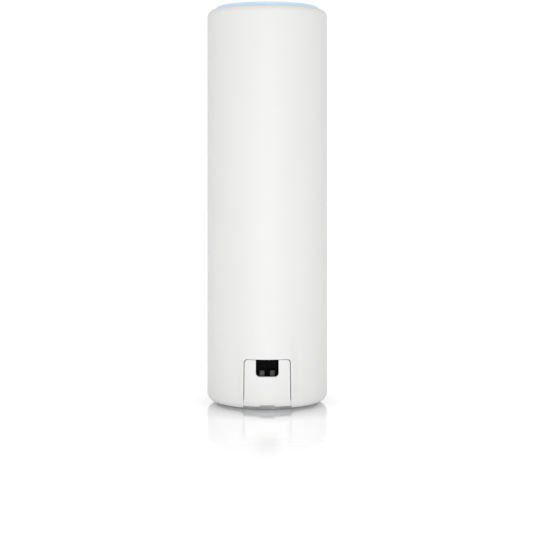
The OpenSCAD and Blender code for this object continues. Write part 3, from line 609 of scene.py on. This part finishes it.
def door():
    """The door's plate in bands from the window out to its edge, with lip, notch and tongues."""
    top = DOOR_TOP - TOP_GAP
    bottom = door_low.z
    half_top = DOOR_HALF - SIDE_GAP
    corner = DOOR_CORNER
    builder = Builder()

    def edge_half(z):
        closing = CLOSING * smooth((CLOSE_FROM - z) / (CLOSE_FROM - CLOSE_TO))
        return half_top + DOOR_FLARE * (top - z) / DOOR_TOP + closing

    def notch(x):
        return NOTCH_H * clamp((NOTCH_HALF + NOTCH_SLOPE - abs(x)) / NOTCH_SLOPE)

    # Left half of the window's edge, from the top down and to the middle of its sill
    drop = spaced(top, WINDOW_Z + WINDOW_R, 12)
    window = [(-WINDOW_HALF, z) for z in drop]
    window += arc(WINDOW_R - WINDOW_HALF, WINDOW_Z + WINDOW_R, WINDOW_R, 180, 270, 8)[1:]
    window += [(x, WINDOW_Z) for x in spaced(WINDOW_R - WINDOW_HALF, 0, 12)[1:]]
    # Left half of the door's edge, with as many points
    outline = arc(corner - half_top, top - corner, corner, 90, 180, 8)
    outline += [(-edge_half(z), z) for z in spaced(top - corner, CLOSE_FROM, 6)[1:]]
    outline += [(-edge_half(z), z) for z in spaced(CLOSE_FROM, bottom, 6)[1:]]
    foot_xs = spaced(-edge_half(bottom), -NOTCH_HALF - NOTCH_SLOPE, 6)[1:]
    foot_xs += spaced(-NOTCH_HALF - NOTCH_SLOPE, -NOTCH_HALF, 2)[1:]
    foot_xs += spaced(-NOTCH_HALF, 0, 4)[1:]
    outline += [(x, bottom + notch(x)) for x in foot_xs]
    first_foot = len(outline) - len(foot_xs) - 1
    window += [(-x, z) for x, z in reversed(window[:-1])]
    outline += [(-x, z) for x, z in reversed(outline[:-1])]
    last_foot = len(outline) - 1 - first_foot

    def place(x, t, inside):
        radius, z = door_inner(t) if inside else door_outer(t)
        return builder.add((x, -math.sqrt(radius**2 - x**2), z))

    layers = []
    for inside in (False, True):
        bands = []
        for step in [0.0, 0.03, 0.1, 0.2, 0.3, 0.4, 0.5, 0.6, 0.7, 0.8, 0.9, 0.97, 1.0]:
            band = []
            for w, o in zip(window, outline):
                w_t = door_t(w[1])
                o_t = door_t(o[1])
                band.append(place(w[0] + (o[0] - w[0]) * step, w_t + (o_t - w_t) * step, inside))
            bands.append(band)
        for one, two in zip(bands, bands[1:]):
            builder.strip(one, two)
        layers.append(bands)
    outside, inside = layers
    builder.strip(outside[0], inside[0])
    for end in (0, -1):
        builder.strip([band[end] for band in outside], [band[end] for band in inside])
    builder.strip(outside[-1][: first_foot + 1], inside[-1][: first_foot + 1])
    builder.strip(outside[-1][last_foot:], inside[-1][last_foot:])

    # The lip that turns in under the door
    lip_rows = [outside[-1][first_foot : last_foot + 1]]
    tip = MOUTH_R + 0.2 * MM
    foot = outline[first_foot : last_foot + 1]

    def lip_row(radius, height):
        return [builder.add((x, -math.sqrt(radius**2 - x**2), height(z))) for x, z in foot]

    lip_rows.append(lip_row(tip, lambda z: z))
    lip_rows.append(lip_row(tip, lambda z: LIP_TOP))
    inner = EDGE_R + SWELL - DOOR_T
    rise = FLOOR_GAP + EDGE_R + SWELL - LIP_TOP
    lip_rows.append(lip_row(EDGE_CENTRE_R + math.sqrt(inner**2 - rise**2), lambda z: LIP_TOP))
    lip_rows.append(inside[-1][first_foot : last_foot + 1])
    for one, two in zip(lip_rows, lip_rows[1:]):
        builder.strip(one, two)
    for end in (0, -1):
        builder.faces.append(tuple(row[end] for row in lip_rows))

    rib = TONGUE_X - 1 * MM
    rib_front = -22.3 * MM
    tongue = [(rib, rib_front), (TONGUE_X, rib_front), (TONGUE_X, TONGUE_FRONT), (TONGUE_END, TONGUE_FRONT),
              (TONGUE_END, TONGUE_BACK), (rib, TONGUE_BACK)]
    for side in (-1, 1):
        builder.prism([(side * x, y) for x, y in tongue], LIP_TOP - 0.2 * MM, DOOR_TOP - 0.8 * MM)
    builder.make("port_door_panel", WHITE, "door", "casing_white", ["port_door"], bevel=0.14 * MM)


# ---------------------------------------------------------------- top
def light_band():
    """The glowing ring, with a rounded crown and the shelf that carries the cap."""
    inner = ring_high.x - 1.6 * MM
    base_inner = ring_high.x - 2.6 * MM
    shelf = ring_low.z + 0.6 * MM
    crown = 0.4 * MM
    inner_crown = 0.2 * MM
    profile = [(base_inner, ring_low.z), (RING_R, ring_low.z)]
    profile += arc(RING_R - crown, ring_high.z - crown, crown, 0, 90, 8)
    profile += arc(inner + inner_crown, ring_high.z - inner_crown, inner_crown, 90, 180, 5)
    profile += [(inner, shelf), (base_inner, shelf)]
    revolved(profile, 256).make("light_ring_band", DIFFUSER, "casing", "light_diffuser", ["light_ring"])


def top_disc():
    """The cap inside the ring: a very shallow dish with a rounded rim, and its skirt below."""
    rim = cap_high.x
    top = cap_high.z
    shelf = ring_low.z + 0.6 * MM
    skirt = ring_high.x - 2.9 * MM
    skirt_inner = skirt - 1.4 * MM
    rim_edge = 0.35 * MM
    hollow = 0.12 * MM
    count = 192
    dish = [(rim * f, top - hollow * (1 - f * f)) for f in spaced(0.0, 0.97, 16)]
    profile = dish[1:] + arc(rim - rim_edge, top - rim_edge, rim_edge, 90, 0, 6)
    profile += [(rim, shelf), (skirt, shelf), (skirt, cap_low.z), (skirt_inner, cap_low.z)]
    profile += [(skirt_inner, shelf), (rim * 0.1, shelf)]
    builder = revolved(profile, count, closed=False)
    builder.faces.append(tuple(range(count)))
    builder.faces.append(tuple(range(len(builder.points) - count, len(builder.points))))
    builder.make("top_cap_disc", WHITE, "casing", "casing_white", ["top_cap"])


# ---------------------------------------------------------------- base and bay
def foot():
    """The rubber foot, with shallow grooves in its rest face."""
    outer = foot_high.x
    inner = outer - 2.2 * MM
    groove = 0.25 * MM
    edge = 0.15 * MM
    profile = [(inner, foot_high.z), (inner, edge), (inner + edge, 0)]
    for middle in (inner + 0.75 * MM, inner + 1.45 * MM):
        profile += arc(middle, 0, groove / 2, 180, 0, 6)
    profile += [(outer - edge, 0), (outer, edge), (outer, foot_high.z)]
    revolved(profile, 192).make("foot_pad", FOOT, "casing", "foot_rubber", ["foot_ring"])


def clip():
    """The cable clip: a block with two square posts, with softened edges."""
    builder = Builder()
    front = clip_low.y
    base_top = clip_low.z + 2.2 * MM
    half = clip_high.x
    back = clip_high.y
    builder.prism([(-half, front), (half, front), (half, back), (-half, back)], clip_low.z, base_top)
    width = 2.0 * MM
    for side in (-1, 1):
        middle = side * 2.05 * MM
        low, high = middle - width / 2, middle + width / 2
        builder.prism([(low, front), (high, front), (high, front + width), (low, front + width)],
                      clip_low.z + 0.2 * MM, clip_high.z)
    builder.make("cable_clip_posts", CLIP, "casing", "clip_grey", ["cable_clip"], bevel=0.16 * MM)


# ---------------------------------------------------------------- studio
CAMERA_PLACE = (0.0, -0.530, 0.0934)
CAMERA_LENS = 87.94
CAMERA_SHIFT = (0.0005, -0.1817)
LEVEL = (math.radians(90), 0, 0)
# Name, size, energy and place of each lamp
LAMPS = (
    ("front", 0.9, 6.1, (0, -1.6, 0.15)),
    ("low", 0.12, 0.12, (0, -0.3, 0.02)),
)


def camera():
    data = bpy.data.cameras.new("camera")
    view = bpy.data.objects.new("camera", data)
    bpy.context.scene.collection.objects.link(view)
    view.location = CAMERA_PLACE
    view.rotation_euler = LEVEL
    data.sensor_width = 36
    data.lens = CAMERA_LENS
    data.shift_x, data.shift_y = CAMERA_SHIFT
    data.clip_end = 20
    bpy.context.scene.camera = view


def floor_material():
    """Pale floor: clear reflections near the part, rougher further out; its glow is weaker near the part, a
    painted shadow around the foot.
    """
    material, tree, shader = new_material("floor_white")
    shader.inputs["Base Color"].default_value = (0.86, 0.86, 0.86, 1)
    shader.inputs["Metallic"].default_value = 0.42
    shader.inputs["Emission Color"].default_value = (1, 1, 1, 1)
    place = tree.nodes.new("ShaderNodeTexCoord")
    distance = tree.nodes.new("ShaderNodeVectorMath")
    distance.operation = "LENGTH"
    tree.links.new(place.outputs["Object"], distance.inputs[0])
    away = distance.outputs["Value"]
    tree.links.new(remap(tree, away, 0.05, 0.4, 0.03, 0.11), shader.inputs["Roughness"])
    # Painted shadow: the floor's glow is weaker close to the part and full further out.
    tree.links.new(remap(tree, away, 0.10, 0.26, 0.025, 0.045), shader.inputs["Emission Strength"])
    return material


def backdrop_material():
    material, tree, shader = new_material("backdrop_white")
    shader.inputs["Base Color"].default_value = (0, 0, 0, 1)
    shader.inputs["Specular IOR Level"].default_value = 0
    shader.inputs["Emission Color"].default_value = (1, 1, 1, 1)
    shader.inputs["Emission Strength"].default_value = 1.05
    return material


def studio():
    scene = bpy.context.scene
    scene.view_settings.view_transform = "Standard"
    world = bpy.data.worlds.new("studio")
    world.use_nodes = True
    world.node_tree.nodes["Background"].inputs["Color"].default_value = (1, 1, 1, 1)
    world.node_tree.nodes["Background"].inputs["Strength"].default_value = 0.70
    scene.world = world

    bpy.ops.mesh.primitive_circle_add(vertices=96, radius=2.9, fill_type="NGON", location=(0, 0, -0.0002))
    floor = bpy.context.object
    floor.name = "floor"
    floor.data.materials.append(floor_material())
    bpy.ops.mesh.primitive_uv_sphere_add(segments=64, ring_count=32, radius=3.0)
    dome = bpy.context.object
    dome.name = "dome"
    dome.data.materials.append(backdrop_material())
    dome.visible_diffuse = False
    dome.visible_shadow = False
    dome.visible_transmission = False

    for name, size, energy, place in LAMPS:
        data = bpy.data.lights.new(name, "AREA")
        data.shape = "DISK"
        data.size = size
        data.energy = energy
        lamp = bpy.data.objects.new(name, data)
        scene.collection.objects.link(lamp)
        lamp.location = place
        lamp.rotation_euler = LEVEL
        lamp.visible_camera = False


# ---------------------------------------------------------------- put together
camera()
slot_of = {s["node"]: s["material_slot"] for s in frame["record"]["subparts"]}
for node, piece in frame["nodes"].items():
    piece.data.materials.clear()
    piece.data.materials.append(SLOT_MATERIALS[slot_of[node]])
casing()
door()
light_band()
top_disc()
foot()
clip()
studio()
